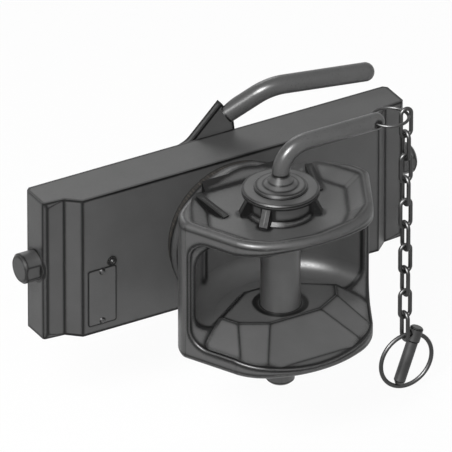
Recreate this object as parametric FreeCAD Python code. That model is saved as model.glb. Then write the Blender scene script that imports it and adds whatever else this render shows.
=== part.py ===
import FreeCAD, Part
import math
import os

from FreeCAD import Vector

# Trailer coupler: a sliding plate that locks in the tractor's ladder rails, with a swivelling
# jaw, a lift-out coupling pin on a handle, and a chained linch pin.
# Millimetres. The origin is where the lock-bolt axis crosses the swivel axis.
# +X runs to the right along the plate, +Y points to the tractor, +Z is up.

# Slide plate
plate_width = 330.0
plate_height = 124.0
flange_depth = 30.0
block_proud = 10.0
flange_width = 18.25
block_slope = 11.1
corner_chamfer = 3.0
lead_in_height = 6.0
lead_in_depth = 1.8

# Lock bolts and what drives them
bolt_radius = 12.5
bolt_proud = 14.6
bolt_shoulder_out = 60.0
bolt_chamfer = 2.0
bolt_flat_depth = 1.2
shank_radius = 8.0
bolt_travel = 17.0
bolt_clearance = 0.3
guide_bush_length = 12.0
drive_pin_radius = 4.0
drive_pin_place = 52.0
drive_pin_inset = 7.0
spring_wire = 2.2
spring_turns = 5
spring_pack = 12.0

# Locking lever
hub_radius = 28.0
hub_pad_radius = 34.0
hub_pad_height = 2.0
hub_groove_depth = 1.5
cam_thickness = 6.5
cam_rim = 4.0
lever_swing = 40.0
lever_top = 87.0
arm_tip_in = 15.3
arm_slant = 1.02
arm_tip_cut = 15.6
arm_width_at_tip = 26.0
arm_width_at_foot = 29.5
arm_foot_overlap = 8.0
arm_root_sink = 12.0
arm_root_centre_sink = 18.0
lever_corner_radius = 18.0
lever_rod_radius = 7.75
lever_rod_weld_in = 19.5
lever_rod_weld_drop = 10.9
lever_rod_bend_radius = 33.6
lever_rod_bend_out = 31.0
lever_rod_bend_forward = 14.9
lever_rod_bend_rise = 23.8
lever_rod_run = 81.9
lever_rod_run_forward = 9.9
lever_rod_run_fall = 5.2
retaining_ring_thickness = 1.6
retaining_ring_width = 3.8
retaining_ring_opening = 8.0

# Swivel shank and its nut
shank_bore_radius = 20.0
bush_wall = 4.0
thread_radius = 18.0
friction_washer_radius = 58.0
friction_washer_thickness = 6.0
thrust_washer_thickness = 3.0
thrust_washer_width = 10.0
disc_spring_height = 3.2
disc_spring_thickness = 1.92
disc_spring_width = 9.5
nut_across_flats = 54.0
nut_height = 23.0
nut_slot_width = 6.0
nut_slot_depth = 9.0
nut_chamfer = 3.0
nut_crown_step = 1.0
split_pin_radius = 2.2
split_pin_overhang = 4.0
split_pin_leg = 12.0
split_pin_eye = 3.6
split_pin_eye_wire = 1.76

# Jaw casting
pin_offset = 102.3
jaw_half_height = 61.5
jaw_half_width = 85.0
jaw_nose = 65.5
jaw_edge_round = 4.5
jaw_shoulder_round = 8.0
flange_thickness = 17.0
eye_cavity_radius = 75.0
eye_cavity_forward = 12.7
eye_cavity_half_height = 36.7
cove_radius = 15.5
eye_cavity_seam = 26.0
eye_cavity_run = 45.0
window_roof = 14.5
window_post = 1.8
window_flare_back = 30.0
window_flare_front = 12.4
window_flare_rise = 3.3
window_corner_radius = 15.0
lip_thickness = 6.3
lip_round = 2.0
seat_inset = 2.5
plateau_half_height = 31.3
plateau_round = 2.0
pocket_depth = 8.5
pocket_corner_radius = 5.0
boss_radius = 24.0
boss_height = 17.0
rib_thickness = 7.0
rib_reach = 33.0
rib_toe_height = 1.5
boss_foot = 2.7
gusset_length = 31.0
gusset_width = 6.0

# Coupling pin
pin_radius = 16.0
pin_bush_wall = 3.0
tail_radius = 11.5
tail_end = 40.0
tail_chamfer = 2.0
tail_taper = 5.0
cross_hole_radius = 5.25
cross_hole_up = 16.0
cover_radius = 31.0
cover_thickness = 4.3
collar_radius = 21.5
collar_height = 3.0
cone_radius = 14.0
cone_height = 9.0
handle_radius = 7.0
handle_bend = 22.99
handle_riser = 0.01
handle_reach = 86.7
handle_hole_inset = 1.35
handle_hole_radius = 2.6

# Ring, chain and linch pin
key_ring_radius = 15.0
key_ring_wire = 1.25
link_count = 10
link_wire = 1.7
link_half_width = 4.65
link_pitch = 20.7
linch_ring_radius = 23.3
linch_ring_wire = 1.75
linch_pin_radius = 4.75
linch_head_radius = 5.5
linch_head_length = 12.0
linch_tilt = 20.0
linch_lean = 4.4

# Nameplate and small fittings on the front face
nameplate_width = 25.8
nameplate_height = 50.8
nameplate_thickness = 0.8
nameplate_corner = 2.0
nameplate_side_gap = 4.35
nameplate_nipple_gap = 0.4
rivet_margin = 3.2
rivet_radius = 2.7
rivet_head_height = 1.6
nipple_radius = 3.5
nipple_height = 1.5
nipple_stem = 6.0
nipple_inset = 2.8

# Clearances
running = 0.05
seat_gap = 0.1
link_gap = 0.3
press_gap = 0.02
bore_end_room = 1.0

# Planes and places worked out from the sizes above
block_width = plate_width - 2 * flange_width
window_half_height = jaw_half_height - window_roof
lip_half_height = jaw_half_height - lip_thickness
plate_back = flange_depth / 2
flange_front = -flange_depth / 2
block_front = flange_front - block_proud
bolt_bore = bolt_radius + bolt_clearance
bolt_tip = plate_width / 2 + bolt_proud
bolt_shoulder = drive_pin_place + bolt_shoulder_out
shank_end = drive_pin_place - drive_pin_inset
nipple_x = bolt_shoulder - nipple_inset
flange_radius = jaw_half_height
cam_radius = drive_pin_place + drive_pin_radius + cam_rim
bush_bore = shank_bore_radius + running
bush_radius = bush_bore + bush_wall
jaw_back = block_front - friction_washer_thickness
jaw_flange_front = jaw_back - flange_thickness
cam_front = plate_back + hub_pad_height + link_gap
cam_back = cam_front + cam_thickness
ring_front = cam_back + link_gap
hub_end = ring_front + retaining_ring_thickness + 2.0
washer_back = hub_end + thrust_washer_thickness
springs_back = washer_back + 2 * disc_spring_height
nut_back = springs_back + nut_height
pin_y = -pin_offset
pocket_floor = jaw_half_height - pocket_depth
boss_top = pocket_floor + boss_height
cover_top = boss_top + cover_thickness
handle_level = cover_top + collar_height + cone_height + handle_riser + handle_bend
pin_tail_end = -jaw_half_height - tail_end
ring_hole_x = handle_reach - handle_hole_inset
chain_x = ring_hole_x - 0.85 + 2 * key_ring_radius
link_inner = link_pitch + link_gap
link_bow_height = link_inner + 2 * link_wire
first_link_top = handle_level + key_ring_wire + link_gap + link_wire


def rod(radius, start, end):
    """A round bar between two points."""
    return Part.makeCylinder(radius, (end - start).Length, start, end - start)


def tube_y(inner, outer, y_start, y_end, x=0.0, z=0.0):
    """A plain ring or sleeve with its axis along Y."""
    start = Vector(x, y_start, z)
    end = Vector(x, y_end, z)
    return rod(outer, start, end).cut(rod(inner, start, end))


def block(x_range, y_range, z_range):
    """A rectangular block from its three pairs of limits."""
    size = [limits[1] - limits[0] for limits in (x_range, y_range, z_range)]
    return Part.makeBox(*size, Vector(x_range[0], y_range[0], z_range[0]))


def mirrored_x(shape):
    """The same piece on the other side of the middle plane."""
    return shape.mirror(Vector(0, 0, 0), Vector(1, 0, 0))


def line(start, end):
    return Part.makeLine(start, end)


def arc(start, through, end):
    return Part.Arc(start, through, end).toShape()


def polygon_prism(points, direction):
    return Part.Face(Part.makePolygon(points + [points[0]])).extrude(direction)


def lathe(profile, centre, axis, radial):
    """A solid turned about an axis from (radius, height) points."""
    points = [centre + radial * radius + axis * height for radius, height in profile]
    face = Part.Face(Part.makePolygon(points + [points[0]]))
    return face.revolve(centre, axis, 360)


def bent_rod(radius, edges):
    """A round bar along straight runs joined by tangent arcs."""
    path = Part.Wire(edges)
    start = path.Edges[0]
    normal = start.tangentAt(start.FirstParameter)
    section = Part.Wire(Part.makeCircle(radius, start.valueAt(start.FirstParameter), normal))
    return path.makePipeShell([section], True, True)


def wire_ring(ring_radius, wire_radius, centre, normal):
    return Part.makeTorus(ring_radius, wire_radius, centre, normal)


# Slide plate


def lead_in_bevel():
    """The small wedge taken off each flange corner, fading out towards the block."""
    side = plate_width / 2
    top = plate_height / 2
    inner = Vector(block_width / 2, flange_front, top)
    corner = Vector(side + 1, flange_front, top)
    below = Vector(side + 1, flange_front, top - lead_in_height)
    behind = Vector(side + 1, flange_front + lead_in_depth, top)
    push = Vector(0, -1, 0)
    lift = Vector(0, 0, 1)
    points = [inner, corner + push + lift, below, behind]
    faces = [
        Part.Face(Part.makePolygon([points[a], points[b], points[c], points[a]]))
        for a, b, c in ((0, 1, 2), (0, 2, 3), (0, 3, 1), (1, 3, 2))
    ]
    solid = Part.Solid(Part.Shell(faces))
    return solid


def plate_outline():
    """The plan of the plate: a rear flange with a sloped block in front of it."""
    side = plate_width / 2
    step = block_width / 2
    nose = step - block_slope
    half = [
        (nose, block_front),
        (step, flange_front),
        (side - corner_chamfer, flange_front),
        (side, flange_front + corner_chamfer),
        (side, plate_back - corner_chamfer),
        (side - corner_chamfer, plate_back),
    ]
    other = [(-x, y) for x, y in reversed(half)]
    return [Vector(x, y, -plate_height / 2) for x, y in half + other]


def slide_plate():
    body = polygon_prism(plate_outline(), Vector(0, 0, plate_height))
    bevel = lead_in_bevel()
    for cut in (bevel, bevel.mirror(Vector(0, 0, 0), Vector(0, 0, 1))):
        body = body.cut(cut).cut(mirrored_x(cut))
    pad = rod(hub_pad_radius, Vector(0, plate_back - 1, 0), Vector(0, plate_back + hub_pad_height, 0))
    hub = rod(hub_radius, Vector(0, plate_back - 1, 0), Vector(0, hub_end, 0))
    body = body.fuse([pad, hub])
    groove = tube_y(
        hub_radius - hub_groove_depth, hub_radius + 1, ring_front - seat_gap,
        ring_front + retaining_ring_thickness + seat_gap,
    )
    body = body.cut(groove)
    body = body.cut(rod(bush_radius + running / 2, Vector(0, block_front - 1, 0), Vector(0, hub_end + 1, 0)))
    for side in (-1, 1):
        body = body.cut(bolt_passage(side))
    return body.removeSplitter()


def bolt_passage(side):
    """The blind bore of one lock bolt, its drive-pin slot and its grease hole."""
    outer_end = Vector(side * (plate_width / 2 + 1), 0, 0)
    bottom = Vector(side * (shank_end - bolt_travel - bore_end_room), 0, 0)
    bore = rod(bolt_bore, bottom, outer_end)
    half = drive_pin_radius + link_gap
    near = drive_pin_place - bolt_travel
    y_limits = (0, plate_back + hub_pad_height + 1)
    x_limits = (side * near, side * drive_pin_place) if side > 0 else (side * drive_pin_place, side * near)
    slot = block(x_limits, y_limits, (-half, half))
    for x in x_limits:
        slot = slot.fuse(rod(half, Vector(x, y_limits[0], 0), Vector(x, y_limits[1], 0)))
    x = side * nipple_x
    grease_hole = rod(nipple_radius - 1, Vector(x, block_front - 1, 0), Vector(x, 0, 0))
    return bore.fuse([slot, grease_hole])


def nameplate_place():
    """Left edge and bottom of the nameplate."""
    left = -(block_width / 2 - block_slope) + nameplate_side_gap
    bottom = -(nipple_radius + nameplate_nipple_gap + nameplate_height)
    return left, bottom


def rivet_places():
    left, bottom = nameplate_place()
    middle = left + nameplate_width / 2
    return [(middle, bottom + rivet_margin), (middle, bottom + nameplate_height - rivet_margin)]


def nameplate():
    left, bottom = nameplate_place()
    x_limits = (left, left + nameplate_width)
    plate = block(
        x_limits, (block_front - nameplate_thickness, block_front), (bottom, bottom + nameplate_height)
    )
    upright = [edge for edge in plate.Edges if abs(edge.tangentAt(edge.FirstParameter).y) > 0.9]
    plate = plate.makeFillet(nameplate_corner, upright)
    for x, z in rivet_places():
        plate = plate.cut(
            rod(rivet_radius / 2 + seat_gap, Vector(x, block_front - 2, z), Vector(x, block_front + 1, z))
        )
    return plate


def rivet(x, z):
    """A domed head with its short stem in the plate's hole."""
    head_height = rivet_head_height
    face = block_front - nameplate_thickness
    ball_radius = (rivet_radius**2 + head_height**2) / (2 * head_height)
    centre = Vector(x, face - head_height + ball_radius, z)
    ball = Part.makeSphere(ball_radius, centre)
    dome = ball.common(rod(rivet_radius, Vector(x, face - head_height - 1, z), Vector(x, face, z)))
    stem = rod(rivet_radius / 2, Vector(x, face, z), Vector(x, block_front, z))
    return dome.fuse(stem)


def grease_nipple(side):
    """A flush nipple: a stem pressed in the grease hole under a low round head."""
    x = side * nipple_x
    face = block_front - nipple_height
    stem_end = Vector(x, block_front + nipple_stem, 0)
    stem = rod(nipple_radius - 1 - running, Vector(x, block_front, 0), stem_end)
    head = rod(nipple_radius, Vector(x, face, 0), Vector(x, block_front, 0))
    tip = Part.makeCone(
        nipple_radius * 2 / 3, nipple_radius * 3 / 7, nipple_height, Vector(x, face, 0), Vector(0, -1, 0)
    )
    return stem.fuse([head, tip])


# Lock bolts


def lock_bolt(side):
    outward = Vector(side, 0, 0)
    profile = [
        (0, shank_end),
        (shank_radius, shank_end),
        (shank_radius, bolt_shoulder),
        (bolt_radius, bolt_shoulder),
        (bolt_radius, bolt_tip - bolt_chamfer),
        (bolt_radius - bolt_chamfer, bolt_tip),
        (0, bolt_tip),
    ]
    bolt = lathe(profile, Vector(0, 0, 0), outward, Vector(0, 1, 0))
    flat_y = -(bolt_radius - bolt_flat_depth)
    x_limits = sorted((side * (plate_width / 2 + 1), side * (bolt_tip + 1)))
    bolt = bolt.cut(block(x_limits, (-bolt_radius - 1, flat_y), (-bolt_radius, bolt_radius)))
    x = side * drive_pin_place
    hole = rod(drive_pin_radius + running / 2, Vector(x, -bolt_radius, 0), Vector(x, bolt_radius, 0))
    return bolt.cut(hole)


def drive_pin(side):
    x = side * drive_pin_place
    return rod(drive_pin_radius, Vector(x, -shank_radius, 0), Vector(x, cam_back + 1, 0))


def guide_bush_limits():
    """The bush stands just past the shoulder's innermost place, with the packed spring between."""
    outer = bolt_shoulder - bolt_travel - spring_wire * (spring_turns + 1) - spring_pack
    return outer - guide_bush_length, outer


def guide_bush(side):
    inner_end, outer_end = guide_bush_limits()
    start = Vector(side * inner_end, 0, 0)
    end = Vector(side * outer_end, 0, 0)
    return rod(bolt_bore - running, start, end).cut(rod(shank_radius + running, start, end))


def bolt_spring(side):
    """A coil spring of square wire between the guide bush and the bolt's shoulder."""
    outer_end = guide_bush_limits()[1]
    half = spring_wire / 2
    length = bolt_shoulder - outer_end - 2 * (half + seat_gap)
    mean_radius = (shank_radius + bolt_bore) / 2
    helix = Part.makeHelix(length / spring_turns, length, mean_radius)
    signs = ((-1, -1), (1, -1), (1, 1), (-1, 1), (-1, -1))
    section = Part.makePolygon([Vector(mean_radius + x * half, 0, z * half) for x, z in signs])
    coil = Part.Wire(helix.Edges).makePipeShell([section], True, True)
    coil.rotate(Vector(0, 0, 0), Vector(0, 1, 0), 90 * side)
    coil.translate(Vector(side * (outer_end + half + seat_gap), 0, 0))
    return coil


# Locking lever


def spiral_slot():
    """The cam slot: its radius falls evenly with the angle, so the bolts move evenly."""
    half_width = drive_pin_radius + link_gap
    outer_radius = drive_pin_place
    sweep = math.radians(lever_swing)
    fall = bolt_travel / sweep
    steps = 6

    def point(share, offset):
        angle = -sweep * share
        radius = outer_radius - bolt_travel * share
        tangent = Vector(
            math.sin(angle) * radius - fall * math.cos(angle),
            0,
            -math.cos(angle) * radius - fall * math.sin(angle),
        )
        tangent.normalize()
        normal = Vector(-tangent.z, 0, tangent.x)
        centre = Vector(math.cos(angle) * radius, cam_front - 1, math.sin(angle) * radius)
        return centre + normal * offset, tangent

    def side_curve(offset):
        curve = Part.BSplineCurve()
        curve.interpolate([point(step / steps, offset)[0] for step in range(steps + 1)])
        return curve.toShape()

    start_tip = point(0, 0)[0] - point(0, 0)[1] * half_width
    end_tip = point(1, 0)[0] + point(1, 0)[1] * half_width
    edges = [
        side_curve(half_width),
        arc(point(1, half_width)[0], end_tip, point(1, -half_width)[0]),
        side_curve(-half_width),
        arc(point(0, -half_width)[0], start_tip, point(0, half_width)[0]),
    ]
    wire = Part.Wire(Part.__sortEdges__(edges))
    return Part.Face(wire).extrude(Vector(0, cam_thickness + 2, 0))


def arm_outline():
    """The lever arm seen from the front: a slanting left edge and a cut-back tip."""
    tip = Vector(arm_tip_in, cam_front, lever_top)
    foot = cam_radius - arm_foot_overlap
    left_foot = Vector(tip.x - (lever_top - foot) * arm_slant, cam_front, foot)
    right_top = Vector(arm_width_at_tip, cam_front, lever_top - arm_tip_cut)
    right_foot = Vector(arm_width_at_foot, cam_front, foot - arm_root_sink)
    inner = Vector(0, cam_front, foot - arm_root_centre_sink)
    return [tip, right_top, right_foot, inner, left_foot]


def cam_lever():
    disc = rod(cam_radius, Vector(0, cam_front, 0), Vector(0, cam_back, 0))
    arm = polygon_prism(arm_outline(), Vector(0, cam_thickness, 0))
    lever = disc.fuse(arm).removeSplitter()
    corner = [
        edge for edge in lever.Edges
        if abs(edge.tangentAt(edge.FirstParameter).y) > 0.9
        and -35 < edge.CenterOfMass.x < -10
        and edge.CenterOfMass.z > 30
    ]
    if corner:
        lever = lever.makeFillet(lever_corner_radius, corner[:1])
    lever = lever.cut(rod(hub_radius + running, Vector(0, cam_front - 1, 0), Vector(0, cam_back + 1, 0)))
    slot = spiral_slot()
    other = slot.copy()
    other.rotate(Vector(0, 0, 0), Vector(0, 1, 0), 180)
    return lever.cut([slot, other])


def lever_rod_points():
    """Corner points of the rod: out of the arm, over the plate, then along it."""
    weld = Vector(lever_rod_weld_in, cam_front, lever_top - lever_rod_weld_drop)
    bend = weld + Vector(lever_rod_bend_out, -lever_rod_bend_forward, lever_rod_bend_rise)
    end = bend + Vector(lever_rod_run, -lever_rod_run_forward, -lever_rod_run_fall)
    return weld, bend, end


def rounded_path(points, radius):
    """A straight run, a tangent arc and a second straight run."""
    start, corner, end = points
    back = (start - corner).normalize()
    ahead = (end - corner).normalize()
    half_angle = back.getAngle(ahead) / 2
    setback = radius / math.tan(half_angle)
    middle_dir = (back + ahead).normalize()
    centre = corner + middle_dir * (radius / math.sin(half_angle))
    first = corner + back * setback
    last = corner + ahead * setback
    return [line(start, first), arc(first, centre - middle_dir * radius, last), line(last, end)]


def lever_rod():
    points = lever_rod_points()
    bar = bent_rod(lever_rod_radius, rounded_path(points, lever_rod_bend_radius))
    bar = bar.fuse(Part.makeSphere(lever_rod_radius, points[-1]))
    reach = 2 * lever_rod_radius
    weld = points[0]
    behind = block(
        (weld.x - reach, weld.x + reach), (cam_front, cam_front + reach), (weld.z - reach, weld.z + reach)
    )
    return bar.cut(behind).removeSplitter()


def retaining_ring():
    """A flat spring clip in the hub's groove, open at the bottom."""
    inner = hub_radius - hub_groove_depth + seat_gap
    ring = tube_y(inner, inner + retaining_ring_width, ring_front, ring_front + retaining_ring_thickness)
    half_opening = retaining_ring_opening / 2
    opening = block(
        (-half_opening, half_opening), (ring_front - 1, ring_front + retaining_ring_thickness + 1),
        (-inner - 2 * retaining_ring_width, 0),
    )
    return ring.cut(opening)


# Swivel bearing


def swivel_bush():
    return tube_y(bush_bore, bush_radius, block_front, hub_end)


def friction_washer():
    return tube_y(shank_bore_radius + link_gap, friction_washer_radius, jaw_back, block_front)


def thrust_washer():
    return tube_y(shank_bore_radius + link_gap, shank_bore_radius + thrust_washer_width, hub_end, washer_back)


def disc_spring(y_start, lean):
    """One coned washer; two stand back to back."""
    inner = thread_radius + link_gap
    outer = inner + disc_spring_width
    thickness = disc_spring_thickness
    rise = disc_spring_height - thickness
    inner_y = y_start + (rise if lean > 0 else 0)
    outer_y = y_start + (0 if lean > 0 else rise)
    profile = [
        (inner, inner_y), (outer, outer_y), (outer, outer_y + thickness), (inner, inner_y + thickness)
    ]
    return lathe(profile, Vector(0, 0, 0), Vector(0, 1, 0), Vector(1, 0, 0))


def disc_springs():
    return Part.makeCompound([disc_spring(washer_back, 1), disc_spring(washer_back + disc_spring_height, -1)])


def castle_nut():
    """A hexagon with chamfered corners under a round crown that three slots cross."""
    corner = nut_across_flats / math.sqrt(3)
    points = [
        Vector(corner * math.cos(math.radians(60 * k)), springs_back, corner * math.sin(math.radians(60 * k)))
        for k in range(6)
    ]
    nut = polygon_prism(points, Vector(0, nut_height, 0))
    crown = nut_across_flats / 2 - nut_crown_step
    crown_foot = nut_back - nut_slot_depth
    skirt = lathe(
        [
            (0, springs_back - 1), (corner - nut_chamfer, springs_back - 1),
            (corner + 1, springs_back + nut_chamfer), (corner + 1, crown_foot - nut_chamfer),
            (crown, crown_foot), (crown, nut_back + 1), (0, nut_back + 1),
        ],
        Vector(0, 0, 0), Vector(0, 1, 0), Vector(1, 0, 0),
    )
    nut = nut.common(skirt)
    nut = nut.cut(rod(thread_radius + running, Vector(0, springs_back - 1, 0), Vector(0, nut_back + 1, 0)))
    slot = block(
        (-corner - 1, corner + 1), (nut_back - nut_slot_depth, nut_back + 1),
        (-nut_slot_width / 2, nut_slot_width / 2),
    )
    for turn in (0, 60, 120):
        turned = slot.copy()
        turned.rotate(Vector(0, 0, 0), Vector(0, 1, 0), turn)
        nut = nut.cut(turned)
    return nut


def split_pin_y():
    return nut_back - nut_slot_depth / 2


def split_pin():
    """A cotter through the nut's slots, with an eye at one end and a leg bent up at the other."""
    y = split_pin_y()
    half_length = nut_across_flats / 2 + split_pin_overhang
    body = rod(split_pin_radius, Vector(-half_length, y, 0), Vector(half_length, y, 0))
    leg = rod(split_pin_radius, Vector(half_length, y, 0), Vector(half_length, y, split_pin_leg))
    knee = Part.makeSphere(split_pin_radius, Vector(half_length, y, 0))
    eye_overlap = 0.3 * split_pin_eye_wire
    eye_centre = Vector(eye_overlap - half_length - split_pin_eye, y, 0)
    eye = wire_ring(split_pin_eye, split_pin_eye_wire, eye_centre, Vector(0, 1, 0))
    return body.fuse([leg, knee, eye])


# Jaw casting


def jaw_outline():
    """Plan of the jaw: a broad nose, straight flanks and shoulders that close in on the flange."""
    nose = pin_y - jaw_nose
    apex = Vector(0, nose, 0)
    lip_mid = Vector(20, nose + 1.94, 0)
    lip_end = Vector(39.5, nose + 8, 0)
    corner_mid = Vector(52.65, nose + 15.7, 0)
    corner = Vector(62.5, nose + 27.3, 0)
    shoulder = Vector(jaw_half_width, pin_y + 7.3, 0)
    shoulder_mid = Vector(jaw_half_width - 3.5, pin_y + 20.8, 0)
    haunch = Vector(jaw_half_width - 13, pin_y + 31.8, 0)
    haunch_mid = Vector(jaw_half_width - 29.5, pin_y + 44.5, 0)
    root = Vector(37, jaw_flange_front, 0)
    neck = Vector(37, jaw_flange_front + 6, 0)

    def flip(point):
        return Vector(-point.x, point.y, point.z)

    right = [
        arc(apex, lip_mid, lip_end),
        arc(lip_end, corner_mid, corner),
        line(corner, shoulder),
        arc(shoulder, shoulder_mid, haunch),
        arc(haunch, haunch_mid, root),
        line(root, neck),
    ]
    left = [edge.mirror(Vector(0, 0, 0), Vector(1, 0, 0)) for edge in right]
    return right + [line(neck, flip(neck))] + left


def jaw_block():
    """The outer body of the jaw with its rounded top and bottom rims, and the neck flange."""
    edges = Part.__sortEdges__(jaw_outline())
    body = Part.Face(Part.Wire(edges)).extrude(Vector(0, 0, 2 * jaw_half_height))
    body.translate(Vector(0, 0, -jaw_half_height))
    shoulders = [
        edge for edge in body.Edges
        if abs(abs(edge.CenterOfMass.x) - jaw_half_width) < 0.01 and abs(edge.CenterOfMass.z) < 0.01
    ]
    body = body.makeFillet(jaw_shoulder_round, shoulders)
    for level in (jaw_half_height, -jaw_half_height):
        rim = [
            edge for edge in body.Edges
            if abs(edge.CenterOfMass.z - level) < 0.01 and edge.CenterOfMass.y < jaw_flange_front - 1
        ]
        body = body.makeFillet(jaw_edge_round, rim)
    flange = lathe(
        [
            (0, jaw_flange_front), (flange_radius, jaw_flange_front), (flange_radius, jaw_back - 3),
            (flange_radius - 3, jaw_back), (0, jaw_back),
        ],
        Vector(0, 0, 0), Vector(0, 1, 0), Vector(1, 0, 0),
    )
    return body.fuse(flange)


def cavity_section():
    """Half of the hollow's upright section, from its axis out to the wall, with coved corners."""
    cove_start = eye_cavity_half_height - cove_radius
    inner_radius = eye_cavity_radius - cove_radius
    share = math.sqrt(0.5) * cove_radius
    wall = eye_cavity_radius
    top = eye_cavity_half_height

    def at(radius, height):
        return Vector(radius, 0, height)

    return Part.Face(Part.Wire([
        line(at(0, -top), at(inner_radius, -top)),
        arc(at(inner_radius, -top), at(inner_radius + share, -cove_start - share), at(wall, -cove_start)),
        line(at(wall, -cove_start), at(wall, cove_start)),
        arc(at(wall, cove_start), at(inner_radius + share, cove_start + share), at(inner_radius, top)),
        line(at(inner_radius, top), at(0, top)),
        line(at(0, top), at(0, -top)),
    ]))


def eye_cavity():
    """The hollow behind the pin: round at the back, then straight walls that open to the sides."""
    section = cavity_section()
    hollow = section.revolve(Vector(0, 0, 0), Vector(0, 0, 1), 360)
    section.rotate(Vector(0, 0, 0), Vector(0, 0, 1), eye_cavity_seam)
    seam = math.radians(eye_cavity_seam)
    ahead = Vector(math.sin(seam), -math.cos(seam), 0) * eye_cavity_run
    run = section.extrude(ahead)
    hollow = hollow.fuse([run, mirrored_x(run)])
    hollow.translate(Vector(0, pin_y - eye_cavity_forward, 0))
    return hollow


def mouth_window():
    """The mouth as seen from the side: round corners at the posts, flaring towards the lips."""
    post = pin_y + window_post
    flare = pin_y - jaw_nose + window_flare_back
    corner = pin_y - jaw_nose + window_flare_front
    front = pin_y - jaw_nose - 3
    radius = window_corner_radius
    top = window_half_height
    share = radius * (1 - math.sqrt(0.5))
    x = -jaw_half_width - 5

    def at(y, z):
        return Vector(x, y, z)

    upper = [
        arc(at(post, top - radius), at(post - share, top - share), at(post - radius, top)),
        line(at(post - radius, top), at(flare, top)),
        line(at(flare, top), at(corner, top + window_flare_rise)),
        line(at(corner, top + window_flare_rise), at(front, lip_half_height)),
    ]
    lower = [edge.mirror(Vector(0, 0, 0), Vector(0, 0, 1)) for edge in upper]
    ends = [
        line(at(post, top - radius), at(post, radius - top)),
        line(at(front, lip_half_height), at(front, -lip_half_height)),
    ]
    wire = Part.Wire(Part.__sortEdges__(upper + lower + ends))
    return Part.Face(wire).extrude(Vector(2 * jaw_half_width + 10, 0, 0))


def rounded_outline(corners, radius, height):
    """A closed outline at one height, from its right half's corners, each corner rounded."""
    right = [Vector(x, pin_y + y, height) for x, y in corners]
    points = right + [Vector(-p.x, p.y, p.z) for p in reversed(right) if p.x > 0]
    edges = []
    last = None
    first = None
    for k, corner in enumerate(points):
        back = (points[k - 1] - corner).normalize()
        ahead = (points[(k + 1) % len(points)] - corner).normalize()
        half_angle = back.getAngle(ahead) / 2
        setback = radius / math.tan(half_angle)
        middle = (back + ahead).normalize()
        nearest = corner + middle * (radius / math.sin(half_angle) - radius)
        start, end = corner + back * setback, corner + ahead * setback
        if last is not None:
            edges.append(line(last, start))
        edges.append(arc(start, nearest, end))
        first = first or start
        last = end
    edges.append(line(last, first))
    return Part.Wire(edges)


def funnel(side):
    """The raised seat round the pin that slopes away in flat facets to the lips and flanks."""
    plateau = [(23, -23.4), (45, -11), (53, 5), (38, 15), (17, 30.3)]
    base = [(48.7, -63.7), (66.1, -53.5), (86.3, -13.3), (41, 17), (18, 32.3)]

    def ring(corners, height):
        right = [Vector(x, pin_y + y, side * height) for x, y in corners]
        points = right + [Vector(-p.x, p.y, p.z) for p in reversed(right)]
        return Part.makePolygon(points + points[:1])

    seat = Part.makeLoft([ring(base, lip_half_height + 0.2), ring(plateau, plateau_half_height)], True, True)
    brink = [
        edge for edge in seat.Edges
        if abs(edge.CenterOfMass.z - side * plateau_half_height) < 0.01
    ]
    return seat.makeFillet(plateau_round, brink)


def top_pocket():
    """The sunk field on top of the jaw, with gently sloped side walls."""
    floor = [(0, -48), (34, -42), (45, -29), (62, 4.8), (51, 27), (38, 54.1)]
    rim = [(0, -59.5), (37, -52.5), (57, -36.5), (78, 7), (66, 29), (44, 62)]
    rings = [
        rounded_outline(floor, pocket_corner_radius, pocket_floor),
        rounded_outline(rim, pocket_corner_radius, jaw_half_height + 0.5),
    ]
    return Part.makeLoft(rings, True, True)


def boss_rib(angle):
    """A web that slopes from the top of the boss down to the pocket floor."""
    foot = rib_reach
    points = [
        Vector(boss_radius - 6, -rib_thickness / 2, pocket_floor - 1),
        Vector(foot, -rib_thickness / 2, pocket_floor - 1),
        Vector(foot, -rib_thickness / 2, pocket_floor + rib_toe_height),
        Vector(boss_radius + 1.5, -rib_thickness / 2, boss_top - 0.8),
        Vector(boss_radius - 6, -rib_thickness / 2, boss_top - 0.8),
    ]
    rib = polygon_prism(points, Vector(0, rib_thickness, 0))
    rib.rotate(Vector(0, 0, 0), Vector(0, 0, 1), angle)
    rib.translate(Vector(0, pin_y, 0))
    return rib


def pocket_gusset():
    """A wedge that falls from the rim of the pocket to its floor, leaning inwards."""
    side = -gusset_width / 2
    points = [
        Vector(0, side, pocket_floor - 1),
        Vector(gusset_length, side, pocket_floor - 1),
        Vector(gusset_length, side, pocket_floor + 0.8),
        Vector(0, side, jaw_half_height - 1),
    ]
    wedge = polygon_prism(points, Vector(0, gusset_width, 0))
    wedge.rotate(Vector(0, 0, 0), Vector(0, 0, 1), -104)
    wedge.translate(Vector(50, pin_y + 42, 0))
    return wedge


def mouth_edges(body, outer):
    """The edges where the mouth breaks through the jaw's outer wall."""
    wall = Part.makeCompound(outer.Faces)
    own_edges = Part.makeCompound(outer.Edges)
    found = []
    for edge in body.Edges:
        middle = Part.Vertex(edge.valueAt((edge.FirstParameter + edge.LastParameter) / 2))
        if wall.distToShape(middle)[0] < 0.01 and own_edges.distToShape(middle)[0] > 0.5:
            found.append(edge)
    return found


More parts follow.
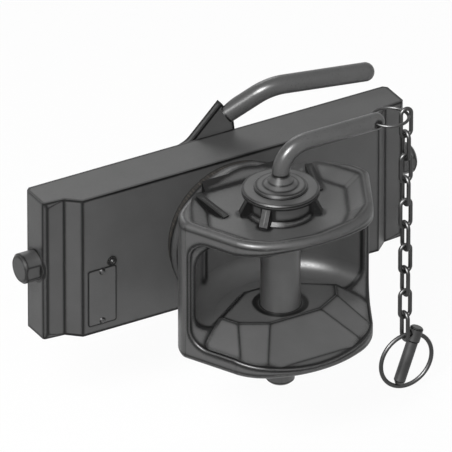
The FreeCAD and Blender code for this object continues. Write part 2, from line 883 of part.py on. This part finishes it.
def jaw_casting():
    """The whole casting: mouth, hollow, seats, pocket with its boss, then shank and thread."""
    outer = jaw_block()
    body = outer.cut(mouth_window())
    body = body.makeFillet(lip_round, mouth_edges(body, outer))
    reach = jaw_half_width + 1
    quarter = body.common(block((0, reach), (pin_y - reach, 0), (-reach, 0)))
    right = quarter.fuse(quarter.mirror(Vector(0, 0, 0), Vector(0, 0, 1)))
    body = right.fuse(mirrored_x(right))
    plan = Part.Face(Part.Wire(Part.__sortEdges__(jaw_outline()))).makeOffset2D(-seat_inset)
    plan.translate(Vector(0, 0, -jaw_half_height))
    inside = plan.extrude(Vector(0, 0, 2 * jaw_half_height))
    seats = [funnel(side) for side in (-1, 1)]
    body = body.cut(eye_cavity())
    body = body.fuse([seat.common(inside) for seat in seats])
    body = body.cut(top_pocket())
    boss_base = rod(boss_radius, Vector(0, pin_y, pocket_floor - 1), Vector(0, pin_y, boss_top))
    foot_ring = Part.makeCone(
        boss_radius + boss_foot, boss_radius, boss_foot, Vector(0, pin_y, pocket_floor), Vector(0, 0, 1)
    )
    ribs = [boss_rib(angle) for angle in (19, 161, 215, 325)]
    gusset = pocket_gusset()
    body = body.fuse([boss_base, foot_ring, gusset, mirrored_x(gusset)] + ribs)
    below = Vector(0, pin_y, -jaw_half_height - 1)
    hole = rod(pin_radius + running + pin_bush_wall, below, Vector(0, pin_y, boss_top + 1))
    shank = rod(shank_bore_radius, Vector(0, jaw_back - 3, 0), Vector(0, washer_back - 0.5, 0))
    thread = rod(thread_radius, Vector(0, washer_back - 1, 0), Vector(0, nut_back + 2, 0))
    y = split_pin_y()
    side = Vector(thread_radius + 1, 0, 0)
    axis = Vector(0, y, 0)
    cross = rod(split_pin_radius + seat_gap, axis - side, axis + side)
    return body.cut(hole).fuse([shank, thread]).cut(cross).removeSplitter()


def pin_bush(z_start, z_end):
    """A pressed-in sleeve, a hair smaller than its hole."""
    start = Vector(0, pin_y, z_start)
    end = Vector(0, pin_y, z_end)
    return rod(pin_radius + running + pin_bush_wall - press_gap, start, end).cut(
        rod(pin_radius + running, start, end)
    )


def pin_bushes():
    upper = pin_bush(plateau_half_height, boss_top)
    lower = pin_bush(-jaw_half_height, -plateau_half_height)
    return Part.makeCompound([upper, lower])


# Coupling pin


def cover_disc():
    centre = Vector(0, pin_y, boss_top)
    profile = [
        (pin_radius + running, 0), (cover_radius, 0), (cover_radius, cover_thickness - 1),
        (cover_radius - 1, cover_thickness), (pin_radius + running, cover_thickness),
    ]
    return lathe(profile, centre, Vector(0, 0, 1), Vector(1, 0, 0))


def coupling_pin():
    """The pin in one turning: narrow tail, full shank, stepped collar and cone."""
    collar_top = cover_top + collar_height
    cone_top = collar_top + cone_height
    shank_foot = -jaw_half_height - 1
    profile = [
        (0, pin_tail_end), (tail_radius - tail_chamfer, pin_tail_end),
        (tail_radius, pin_tail_end + tail_chamfer), (tail_radius, shank_foot - tail_taper),
        (pin_radius, shank_foot), (pin_radius, cover_top),
        (collar_radius, cover_top), (collar_radius, cover_top + 1.2), (collar_radius - 2, collar_top),
        (cone_radius, collar_top), (cone_radius - 4, collar_top + 3),
        (handle_radius, cone_top), (0, cone_top),
    ]
    pin = lathe(profile, Vector(0, pin_y, 0), Vector(0, 0, 1), Vector(1, 0, 0))
    hole_z = pin_tail_end + cross_hole_up
    hole = rod(cross_hole_radius, Vector(-pin_radius, pin_y, hole_z), Vector(pin_radius, pin_y, hole_z))
    return pin.cut(hole)


def pin_handle():
    base = Vector(0, pin_y, cover_top + collar_height + cone_height)
    corner = Vector(0, pin_y, handle_level)
    end = Vector(handle_reach, pin_y, handle_level)
    bar = bent_rod(handle_radius, rounded_path((base, corner, end), handle_bend))
    cap = Part.makeSphere(handle_radius, end)
    across = Vector(0, 2 * handle_radius, 0)
    middle = Vector(ring_hole_x, pin_y, handle_level)
    hole = rod(handle_hole_radius, middle - across, middle + across)
    return bar.fuse(cap).cut(hole).removeSplitter()


# Ring, chain and linch pin


def key_ring():
    centre = Vector(chain_x - key_ring_radius, pin_y, handle_level)
    return wire_ring(key_ring_radius, key_ring_wire, centre, Vector(0, 0, 1))


def link_top(index):
    """Height of the wire's centre at the top of a link."""
    return first_link_top - index * link_pitch


def chain_link(index):
    """An oval link; every second one is turned a quarter."""
    top = link_top(index)
    bottom = top - link_bow_height
    high = top - link_half_width
    low = bottom + link_half_width
    across = Vector(link_half_width, 0, 0)
    upper = Vector(chain_x, pin_y, high)
    lower = Vector(chain_x, pin_y, low)
    up = Vector(0, 0, link_half_width)
    edges = [
        line(lower + across, upper + across),
        arc(upper + across, upper + up, upper - across),
        line(upper - across, lower - across),
        arc(lower - across, lower - up, lower + across),
    ]
    link = bent_rod(link_wire, edges)
    if index % 2:
        link.rotate(upper, Vector(0, 0, 1), 90)
    return link


def linch_ring_centre():
    """The ring hangs on the last link's bottom bow, a little aside from plumb."""
    bow = link_top(link_count - 1) - link_bow_height
    lean = math.radians(linch_lean)
    drop = linch_ring_radius - link_wire - linch_ring_wire - link_gap
    return Vector(chain_x + drop * math.sin(lean), pin_y, bow - drop * math.cos(lean))


def linch_ring():
    return wire_ring(linch_ring_radius, linch_ring_wire, linch_ring_centre(), Vector(0, 1, 0))


def linch_pin():
    """A short pin hung across its ring: a head on the ring's wire and a tapered tip."""
    tilt = math.radians(linch_tilt)
    up = Vector(math.sin(tilt), 0, math.cos(tilt))
    along = Vector(math.cos(tilt), 0, -math.sin(tilt))
    centre = linch_ring_centre()
    hang = centre + up * linch_ring_radius
    head_top = linch_head_length / 2
    tip = -linch_ring_radius - (linch_ring_radius - linch_ring_wire - link_gap)
    profile = [
        (0, tip), (linch_pin_radius - 2, tip), (linch_pin_radius, tip + 3),
        (linch_pin_radius, -head_top), (linch_head_radius, -head_top),
        (linch_head_radius, head_top - 1), (linch_head_radius - 1, head_top), (0, head_top),
    ]
    pin = lathe(profile, hang, up, Vector(0, 1, 0))
    sag = linch_ring_radius - math.sqrt(linch_ring_radius**2 - linch_head_radius**2)
    hole = rod(linch_ring_wire + sag + seat_gap, hang - along * 12, hang + along * 12)
    return pin.cut(hole)


def pieces():
    """Every piece under its own name."""
    made = {
        "slide_plate": slide_plate(),
        "nameplate": nameplate(),
        "nameplate_rivets": Part.makeCompound([rivet(x, z) for x, z in rivet_places()]),
        "grease_nipples": Part.makeCompound([grease_nipple(-1), grease_nipple(1)]),
        "swivel_bush": swivel_bush(),
        "friction_washer": friction_washer(),
        "thrust_washer": thrust_washer(),
        "disc_springs": disc_springs(),
        "castle_nut": castle_nut(),
        "split_pin": split_pin(),
        "retaining_ring": retaining_ring(),
        "cam_lever": cam_lever(),
        "lever_rod": lever_rod(),
        "jaw_casting": jaw_casting(),
        "pin_bushes": pin_bushes(),
        "cover_disc": cover_disc(),
        "coupling_pin": coupling_pin(),
        "pin_handle": pin_handle(),
        "key_ring": key_ring(),
        "linch_ring": linch_ring(),
        "linch_pin": linch_pin(),
    }
    for name, side in (("left", -1), ("right", 1)):
        made["lock_bolt_" + name] = lock_bolt(side)
        made["drive_pin_" + name] = drive_pin(side)
        made["guide_bush_" + name] = guide_bush(side)
        made["bolt_spring_" + name] = bolt_spring(side)
    for index in range(link_count):
        made["chain_link_%02d" % (index + 1)] = chain_link(index)
    return made


os.makedirs("parts", exist_ok=True)
for name, shape in pieces().items():
    shape.exportStep("parts/" + name + ".step")
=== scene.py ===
import math

import bpy
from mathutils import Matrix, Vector


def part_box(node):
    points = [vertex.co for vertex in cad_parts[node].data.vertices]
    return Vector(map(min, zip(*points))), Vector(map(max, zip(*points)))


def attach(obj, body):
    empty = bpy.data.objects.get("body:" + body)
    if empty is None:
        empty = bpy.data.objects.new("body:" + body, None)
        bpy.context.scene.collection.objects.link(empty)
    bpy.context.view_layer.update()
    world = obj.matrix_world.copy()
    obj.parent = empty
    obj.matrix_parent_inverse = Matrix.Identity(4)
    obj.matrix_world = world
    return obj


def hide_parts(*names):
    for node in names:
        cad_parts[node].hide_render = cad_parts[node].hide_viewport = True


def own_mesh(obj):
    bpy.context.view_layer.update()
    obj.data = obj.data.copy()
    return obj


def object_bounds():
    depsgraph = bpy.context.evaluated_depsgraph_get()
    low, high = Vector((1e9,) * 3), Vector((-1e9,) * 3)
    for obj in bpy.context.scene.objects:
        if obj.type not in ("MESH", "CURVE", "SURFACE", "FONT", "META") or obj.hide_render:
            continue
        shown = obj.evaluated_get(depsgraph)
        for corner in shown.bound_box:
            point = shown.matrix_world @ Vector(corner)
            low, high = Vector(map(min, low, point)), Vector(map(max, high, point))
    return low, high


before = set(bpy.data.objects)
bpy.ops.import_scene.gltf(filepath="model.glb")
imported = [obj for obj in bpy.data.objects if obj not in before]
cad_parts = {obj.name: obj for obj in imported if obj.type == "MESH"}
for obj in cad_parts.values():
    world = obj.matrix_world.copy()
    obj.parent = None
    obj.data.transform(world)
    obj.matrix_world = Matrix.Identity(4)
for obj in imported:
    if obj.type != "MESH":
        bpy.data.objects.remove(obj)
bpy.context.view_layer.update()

bpy.ops.object.select_all(action="DESELECT")

# The slide plate is a thick rolled steel slab, milled all over and dipped in a dark grey coat.
# It rides between the two ladder rails of a tractor's hitch and carries every other piece. Its
# dip dries matt with a fine grain in slightly paler clouds, with painted shade along the edges.


def linear(colour_hex):
    """An sRGB hex colour as linear red, green, blue and alpha."""
    channels = [int(colour_hex[k:k + 2], 16) / 255 for k in (1, 3, 5)]
    return [c / 12.92 if c <= 0.04045 else ((c + 0.055) / 1.055) ** 2.4 for c in channels] + [1.0]


def add(tree, kind, inputs=None, **settings):
    """Adds a node, sets its properties and fills its inputs with values or other nodes' outputs."""
    made = tree.nodes.new(kind)
    for name, value in settings.items():
        setattr(made, name, value)
    for key, value in (inputs or {}).items():
        if isinstance(value, bpy.types.NodeSocket):
            tree.links.new(value, made.inputs[key])
        else:
            made.inputs[key].default_value = value
    return made


def new_finish(name):
    """An empty material: its node tree, its shader and the object's own coordinates."""
    material = bpy.data.materials.new(name)
    material.use_nodes = True
    tree = material.node_tree
    tree.nodes.clear()
    shader = add(tree, "ShaderNodeBsdfPrincipled")
    add(tree, "ShaderNodeOutputMaterial", {"Surface": shader.outputs["BSDF"]})
    return material, tree, shader, add(tree, "ShaderNodeTexCoord").outputs["Object"]


def edged(tree, shader, tone, edge_shade, reach_mm):
    """Puts a tone on the open faces and paints a dark line of shade along every edge and crease."""
    # The line starts where rounding would turn the face by about 2 degrees, and is full at 7.
    line_starts = 0.9992
    line_is_full = 0.993
    rounded = add(tree, "ShaderNodeBevel", {"Radius": reach_mm / 1000}, samples=16)
    flat = add(tree, "ShaderNodeNewGeometry")
    alike = add(
        tree, "ShaderNodeVectorMath", {0: rounded.outputs["Normal"], 1: flat.outputs["Normal"]},
        operation="DOT_PRODUCT",
    )
    # The painted shade is darkest where the rounded normal turns furthest from the face's own.
    line = add(
        tree, "ShaderNodeMapRange",
        {"Value": alike.outputs["Value"], "From Min": line_starts, "From Max": line_is_full},
    )
    shade_lined_tone = add(
        tree, "ShaderNodeMix", {"Factor": line.outputs["Result"], "A": tone, "B": linear(edge_shade)},
        data_type="RGBA",
    )
    tree.links.new(shade_lined_tone.outputs["Result"], shader.inputs["Base Color"])


def clouded(tree, clouds, face, worn):
    """A face tone that goes up to six tenths of the way to the worn one in the noise's clouds."""
    rubbed = add(
        tree, "ShaderNodeMapRange",
        {"Value": clouds.outputs["Fac"], "From Min": 0.35, "From Max": 0.7, "To Min": 0.0, "To Max": 0.6},
    )
    tone = add(
        tree, "ShaderNodeMix", {"Factor": rubbed.outputs["Result"], "A": linear(face), "B": linear(worn)},
        data_type="RGBA",
    )
    return tone.outputs["Result"]


def uneven_gloss(tree, shader, patches, smoothest, roughest):
    """Lets the roughness wander between two values with the noise's patches."""
    gloss = add(
        tree, "ShaderNodeMapRange",
        {
            "Value": patches.outputs["Fac"], "From Min": 0.3, "From Max": 0.7,
            "To Min": smoothest, "To Max": roughest,
        },
    )
    tree.links.new(gloss.outputs["Result"], shader.inputs["Roughness"])


def coated(name, face, worn, edge_shade, grain_mm, grain_depth_mm, roughness, reach_mm=4.0, cloud_mm=40.0):
    """A dipped or sprayed coat: a cloudy tone, a fine grain and painted shade along the edges."""
    material, tree, shader, place = new_finish(name)
    clouds = add(
        tree, "ShaderNodeTexNoise",
        {"Vector": place, "Scale": 1000 / cloud_mm, "Detail": 5.0, "Roughness": 0.6},
    )
    # The dark colour goes along the edges as painted shade.
    edged(tree, shader, clouded(tree, clouds, face, worn), edge_shade, reach_mm)
    # A real coat's grain is a few tenths of a millimetre wide. It is drawn coarser, so that it
    # still breaks up the light at the distance the object is seen from.
    grain = add(
        tree, "ShaderNodeTexNoise",
        {"Vector": place, "Scale": 1000 / grain_mm, "Detail": 3.0, "Roughness": 0.55},
    )
    bump = add(
        tree, "ShaderNodeBump",
        {"Height": grain.outputs["Fac"], "Strength": 0.35, "Distance": grain_depth_mm / 1000},
    )
    tree.links.new(bump.outputs["Normal"], shader.inputs["Normal"])
    uneven_gloss(tree, shader, grain, roughness - 0.05, roughness + 0.07)
    shader.inputs["Specular IOR Level"].default_value = 0.22
    return material


def dress(material, *nodes):
    """Gives carried-over pieces their finish."""
    for node in nodes:
        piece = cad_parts[node]
        piece.data.materials.clear()
        piece.data.materials.append(material)


plate_coat = coated(
    "dip_coated_milled_steel", "#424242", "#4A4A4A", "#0C0C0C",
    grain_mm=1.6, grain_depth_mm=0.04, roughness=0.34,
)
dress(plate_coat, "slide_plate")

# The swivel bush is a plain bearing bronze sleeve, turned and pressed into the plate. The jaw's
# shank turns in it. Bare bronze is warm and glossy, with fine lathe rings about the shank.


def middle(node):
    """The centre of a node's box at rest."""
    low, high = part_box(node)
    return [(a + b) / 2 for a, b in zip(low, high)]


def turned(name, face, worn, edge_shade, node, axis, ring_mm, roughness, metallic=0.0, reach_mm=3.0):
    """A lathe-turned finish: handling smudges and fine tool rings about one axis of a node."""
    material, tree, shader, place = new_finish(name)
    smudge_mm = 22.0
    smudge = add(
        tree, "ShaderNodeTexNoise",
        {"Vector": place, "Scale": 1000 / smudge_mm, "Detail": 4.0, "Roughness": 0.6},
    )
    # The dark colour goes along the edges as painted shade.
    edged(tree, shader, clouded(tree, smudge, face, worn), edge_shade, reach_mm)
    # The tool moves along the axis on a side and across it on an end, so the rings follow the sum
    # of the two distances. Real feed marks are about 0.2 mm apart and are drawn coarser to show.
    centred = add(tree, "ShaderNodeVectorMath", {0: place, 1: middle(node)}, operation="SUBTRACT")
    along = add(
        tree, "ShaderNodeVectorMath", {0: centred.outputs["Vector"], 1: axis}, operation="DOT_PRODUCT"
    )
    across = add(
        tree, "ShaderNodeVectorMath", {0: centred.outputs["Vector"], 1: [1 - a for a in axis]},
        operation="MULTIPLY",
    )
    radius = add(tree, "ShaderNodeVectorMath", {0: across.outputs["Vector"]}, operation="LENGTH")
    feed = add(
        tree, "ShaderNodeMath", {0: along.outputs["Value"], 1: radius.outputs["Value"]}, operation="ADD"
    )
    turns = add(
        tree, "ShaderNodeMath", {0: feed.outputs[0], 1: math.tau * 1000 / ring_mm}, operation="MULTIPLY"
    )
    rings = add(tree, "ShaderNodeMath", {0: turns.outputs[0]}, operation="SINE")
    ring_depth = 0.00002
    bump = add(
        tree, "ShaderNodeBump", {"Height": rings.outputs[0], "Strength": 0.10, "Distance": ring_depth}
    )
    tree.links.new(bump.outputs["Normal"], shader.inputs["Normal"])
    uneven_gloss(tree, shader, smudge, roughness - 0.04, roughness + 0.08)
    shader.inputs["Metallic"].default_value = metallic
    shader.inputs["Specular IOR Level"].default_value = 0.25
    return material


along_x = (1.0, 0.0, 0.0)
along_y = (0.0, 1.0, 0.0)
along_z = (0.0, 0.0, 1.0)
bronze = turned(
    "turned_bearing_bronze", "#B08D57", "#94713F", "#3A2A14", "swivel_bush", along_y,
    ring_mm=1.2, roughness=0.30, metallic=1.0,
)
dress(bronze, "swivel_bush")

# The jaw is one casting in nodular iron: shank, flange, funnel mouth and pin bosses. It is
# shot-blasted and coated with the plate, so under the same grey its skin keeps the coarser,
# rounder grain of the moulding sand.
jaw_coat = coated(
    "dip_coated_sand_casting", "#494949", "#525252", "#0C0C0C",
    grain_mm=2.4, grain_depth_mm=0.05, roughness=0.38, reach_mm=7.0,
)
dress(jaw_coat, "jaw_casting")

# The friction washer brakes the jaw's swivel. It is a ring of woven lining, pressed between the
# jaw's flange and the plate. The weave is a dull brown-grey check of threads about 2 mm apart.
lining, tree, shader, place = new_finish("woven_friction_lining")
thread_mm = 2.0
threads = [
    add(
        tree, "ShaderNodeTexWave",
        {"Vector": place, "Scale": math.tau * 1000 / thread_mm / 20, "Distortion": 0.6, "Detail": 1.0},
        wave_type="BANDS", bands_direction=direction,
    ).outputs["Fac"]
    for direction in ("X", "Z")
]
weave = add(tree, "ShaderNodeMath", {0: threads[0], 1: threads[1]}, operation="MULTIPLY")
tone = add(
    tree, "ShaderNodeMix",
    {"Factor": weave.outputs[0], "A": linear("#1E1C1A"), "B": linear("#34302B")}, data_type="RGBA",
)
# The darkest brown goes along the lining's edges as painted shade.
edged(tree, shader, tone.outputs["Result"], "#0C0B0A", reach_mm=2.0)
thread_height = 0.0002
bump = add(
    tree, "ShaderNodeBump", {"Height": weave.outputs[0], "Strength": 0.5, "Distance": thread_height}
)
tree.links.new(bump.outputs["Normal"], shader.inputs["Normal"])
shader.inputs["Roughness"].default_value = 0.85
shader.inputs["Specular IOR Level"].default_value = 0.15
dress(lining, "friction_washer")

# The thrust washer, the castle nut and its split pin close the swivel on the shank's thread. The
# washer and nut are oiled black-oxide steel: nearly black, with a low wet gloss and faint lathe
# rings. The split pin is wire, and takes the chain's finish further down.
nut_steel = turned(
    "oiled_black_oxide_steel", "#484848", "#565656", "#101010", "castle_nut", along_y,
    ring_mm=1.5, roughness=0.36,
)
dress(nut_steel, "thrust_washer", "castle_nut")

# The two disc springs and the two bolt springs are tempered spring steel. Tempering leaves a
# smooth blue-grey scale whose tint wanders along the wire.
spring_steel = turned(
    "blued_spring_steel", "#4A4E58", "#5E5E62", "#141416", "disc_springs", along_y,
    ring_mm=0.8, roughness=0.30, metallic=1.0, reach_mm=1.2,
)
dress(spring_steel, "disc_springs", "bolt_spring_left", "bolt_spring_right")

# Each bolt spring stands between its guide bush and the bolt's shoulder. It closes by 17 mm as
# the bolt draws in. The coil that is shown is a copy of the built one, carried by the plate.
for side, outward in (("left", -1), ("right", 1)):
    built_coil = "bolt_spring_" + side
    shown_coil = bpy.data.objects.new("closing_" + built_coil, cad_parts[built_coil].data.copy())
    bpy.context.scene.collection.objects.link(shown_coil)
    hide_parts(built_coil)
    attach(shown_coil, "slide_plate")
    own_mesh(shown_coil)

# The guide bushes are short bronze sleeves pressed into the plate's two bolt bores, and the lock
# bolts slide in them. They are turned like the swivel bush.
dress(bronze, "guide_bush_left", "guide_bush_right")

# The lock bolts, and the drive pins pressed across them, are turned bar, hardened and
# oil-blackened. The bolt ends are chamfered so that they find the rails' holes.
bolt_steel = turned(
    "blackened_turned_bolts", "#3A3A3A", "#444444", "#0E0E0E", "lock_bolt_left", along_x,
    ring_mm=1.2, roughness=0.38,
)
dress(bolt_steel, "lock_bolt_left", "lock_bolt_right", "drive_pin_left", "drive_pin_right")

# The cam lever is flame-cut from plate, its two spiral slots milled, and coated like the plate.
# Its edge shows a coarser grain than the milled slab.
cam_coat = coated(
    "dip_coated_flame_cut_steel", "#464646", "#4F4F4F", "#0C0C0C",
    grain_mm=2.0, grain_depth_mm=0.06, roughness=0.34,
)
dress(cam_coat, "cam_lever")

# The retaining ring is a stamped spring-steel clip that snaps into a groove behind the lever. It
# is left with the blue-grey scale of its tempering.
dress(spring_steel, "retaining_ring")

# The lever rod and the pin's handle are bright-drawn round bar, bent hot round a former and then
# blackened. Drawn bar is smooth, so both bends carry a soft highlight.
bar_steel = coated(
    "blackened_drawn_bar", "#444444", "#4E4E4E", "#0E0E0E",
    grain_mm=1.2, grain_depth_mm=0.012, roughness=0.30, reach_mm=3.0, cloud_mm=26.0,
)
dress(bar_steel, "lever_rod", "pin_handle")

# The pin bushes are hardened steel rings pressed into the jaw's bosses, and the coupling pin is
# turned bar that is hardened and ground. Both are blackened, with fine rings about the pin.
pin_steel = turned(
    "blackened_ground_pin", "#454545", "#4F4F4F", "#0E0E0E", "coupling_pin", along_z,
    ring_mm=1.6, roughness=0.32,
)
dress(pin_steel, "pin_bushes", "coupling_pin")

# The cover disc is a turned steel cap round the pin. It keeps dirt out of the top boss, and its
# stepped rim is blackened like the pin.
dress(pin_steel, "cover_disc")

# The nameplate is a thin stamped aluminium tag with nothing on it, held by two domed rivets. It
# is sprayed over with the plate, and its smoother sheet gives the coat an even, finer grain.
tag_coat = coated(
    "sprayed_aluminium_tag", "#454545", "#4D4D4D", "#0C0C0C",
    grain_mm=0.9, grain_depth_mm=0.015, roughness=0.42, reach_mm=2.0,
)
dress(tag_coat, "nameplate", "nameplate_rivets")

# The grease nipples are small turned and zinc-plated fittings, pressed into the plate's front
# over the two lock bolts. Old grease has dulled them to the grey of the coat.
nipple_steel = turned(
    "dulled_zinc_nipples", "#4A4A48", "#565654", "#101010", "grease_nipples", along_y,
    ring_mm=0.8, roughness=0.40, reach_mm=2.0,
)
dress(nipple_steel, "grease_nipples")

# The key ring, the chain, the linch pin and its ring are drawn steel wire and bar, plated and
# gone dull. Drawing leaves them smooth, so light runs along the wire in a thin bright line.
wire_steel = turned(
    "dulled_plated_wire", "#3E3E3E", "#4A4A4A", "#101010", "linch_ring", along_z,
    ring_mm=0.9, roughness=0.42, metallic=1.0, reach_mm=1.2,
)
chain_links = ["chain_link_%02d" % (k + 1) for k in range(10)]
dress(wire_steel, "split_pin", "key_ring", "linch_ring", "linch_pin", *chain_links)

# The studio is a plain pale floor under the coupler and a pale room round it. Both are white
# where they are seen, in a mirror too, while the room gives the object only a weak light. The
# floor keeps a soft shadow.


def seen_rays(tree):
    """1 for the rays that show a surface, straight, mirrored or through glass, and 0 for the rest."""
    rays = add(tree, "ShaderNodeLightPath")
    seen = add(
        tree, "ShaderNodeMath", {0: rays.outputs["Is Camera Ray"], 1: rays.outputs["Is Glossy Ray"]},
        operation="MAXIMUM",
    )
    seen = add(
        tree, "ShaderNodeMath", {0: seen.outputs[0], 1: rays.outputs["Is Transmission Ray"]},
        operation="MAXIMUM",
    )
    return seen.outputs[0]


floor_size = 60.0
floor_gap = 0.002
floor_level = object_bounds()[0][2] - floor_gap
bpy.ops.object.select_all(action="DESELECT")
bpy.ops.mesh.primitive_plane_add(size=floor_size, location=(0.0, 0.0, floor_level))
floor = bpy.context.object
floor.name = "floor"
floor_paint, tree, shader, place = new_finish("pale_floor_paint")
shader.inputs["Base Color"].default_value = linear("#EAEAEA")
shader.inputs["Roughness"].default_value = 0.9
floor_own_white = 0.9
glow = add(tree, "ShaderNodeMath", {0: seen_rays(tree), 1: floor_own_white}, operation="MULTIPLY")
white = add(tree, "ShaderNodeEmission", {"Color": linear("#FFFFFF"), "Strength": 1.0})
blend = add(
    tree, "ShaderNodeMixShader",
    {0: glow.outputs[0], 1: shader.outputs["BSDF"], 2: white.outputs["Emission"]},
)
output = [n for n in tree.nodes if n.type == "OUTPUT_MATERIAL"][0]
tree.links.new(blend.outputs["Shader"], output.inputs["Surface"])
floor.data.materials.append(floor_paint)

room_light = 0.14
room_white = 1.0
world = bpy.data.worlds.new("pale_room")
world.use_nodes = True
tree = world.node_tree
tree.nodes.clear()
strength = add(
    tree, "ShaderNodeMapRange",
    {"Value": seen_rays(tree), "From Min": 0.0, "From Max": 1.0, "To Min": room_light, "To Max": room_white},
)
backdrop = add(
    tree, "ShaderNodeBackground", {"Color": linear("#FFFFFF"), "Strength": strength.outputs["Result"]}
)
add(tree, "ShaderNodeOutputWorld", {"Surface": backdrop.outputs["Background"]})
bpy.context.scene.world = world

# Four soft panels: the key high on the left, a fill beside the camera that reaches into the
# mouth, a glint at the key's place that only the gloss sees, and a weaker one behind.
aim = Vector((0.0, -0.05, 0.0))
panel_distance = 4.0


def panel(name, direction, size, sheet_white):
    """A square lamp that gives a white sheet facing it this share of full white."""
    lamp = bpy.data.lights.new(name, "AREA")
    lamp.shape = "SQUARE"
    lamp.size = size
    lamp.energy = sheet_white * math.pi ** 2 * panel_distance ** 2
    stand = bpy.data.objects.new(name, lamp)
    bpy.context.scene.collection.objects.link(stand)
    towards = Vector(direction).normalized()
    stand.location = aim + towards * panel_distance
    stand.rotation_euler = (-towards).to_track_quat("-Z", "Y").to_euler()
    return stand


key_direction = (-0.60, -0.39, 0.69)
key_size = 1.4
panel("key_panel", key_direction, key_size, 0.5)
fill = panel("fill_panel", (-0.22, -0.74, 0.63), 1.2, 0.84)
fill.data.use_shadow = False
fill.visible_glossy = False
glint = panel("glint_panel", key_direction, key_size, 5.0)
glint.data.use_shadow = False
glint.visible_diffuse = False
panel("back_panel", (0.15, 0.85, 0.50), 1.6, 0.24)

# The camera looks from 30 degrees left and 30 degrees up through a very long lens, so that
# level lines stay level as in the picture. One pixel is 0.793 mm of the object.
millimetres_per_pixel = 1 / 1.2606
image_size = 452
lens_mm = 1400.0
sensor_mm = 36.0
azimuth = math.radians(-30)
elevation = math.radians(30)
look = Vector((
    -math.sin(azimuth) * math.cos(elevation), math.cos(azimuth) * math.cos(elevation), -math.sin(elevation)
))
target = Vector((-3.77, -22.73, 0.14)) / 1000
distance = image_size * millimetres_per_pixel / 1000 * lens_mm / sensor_mm
camera_data = bpy.data.cameras.new("camera")
camera_data.lens = lens_mm
camera_data.sensor_width = sensor_mm
camera_data.clip_start = 0.1
camera_data.clip_end = 100.0
camera = bpy.data.objects.new("camera", camera_data)
bpy.context.scene.collection.objects.link(camera)
camera.location = target - look * distance
camera.rotation_euler = look.to_track_quat("-Z", "Y").to_euler()
bpy.context.scene.camera = camera

bpy.context.scene.view_settings.view_transform = "Standard"
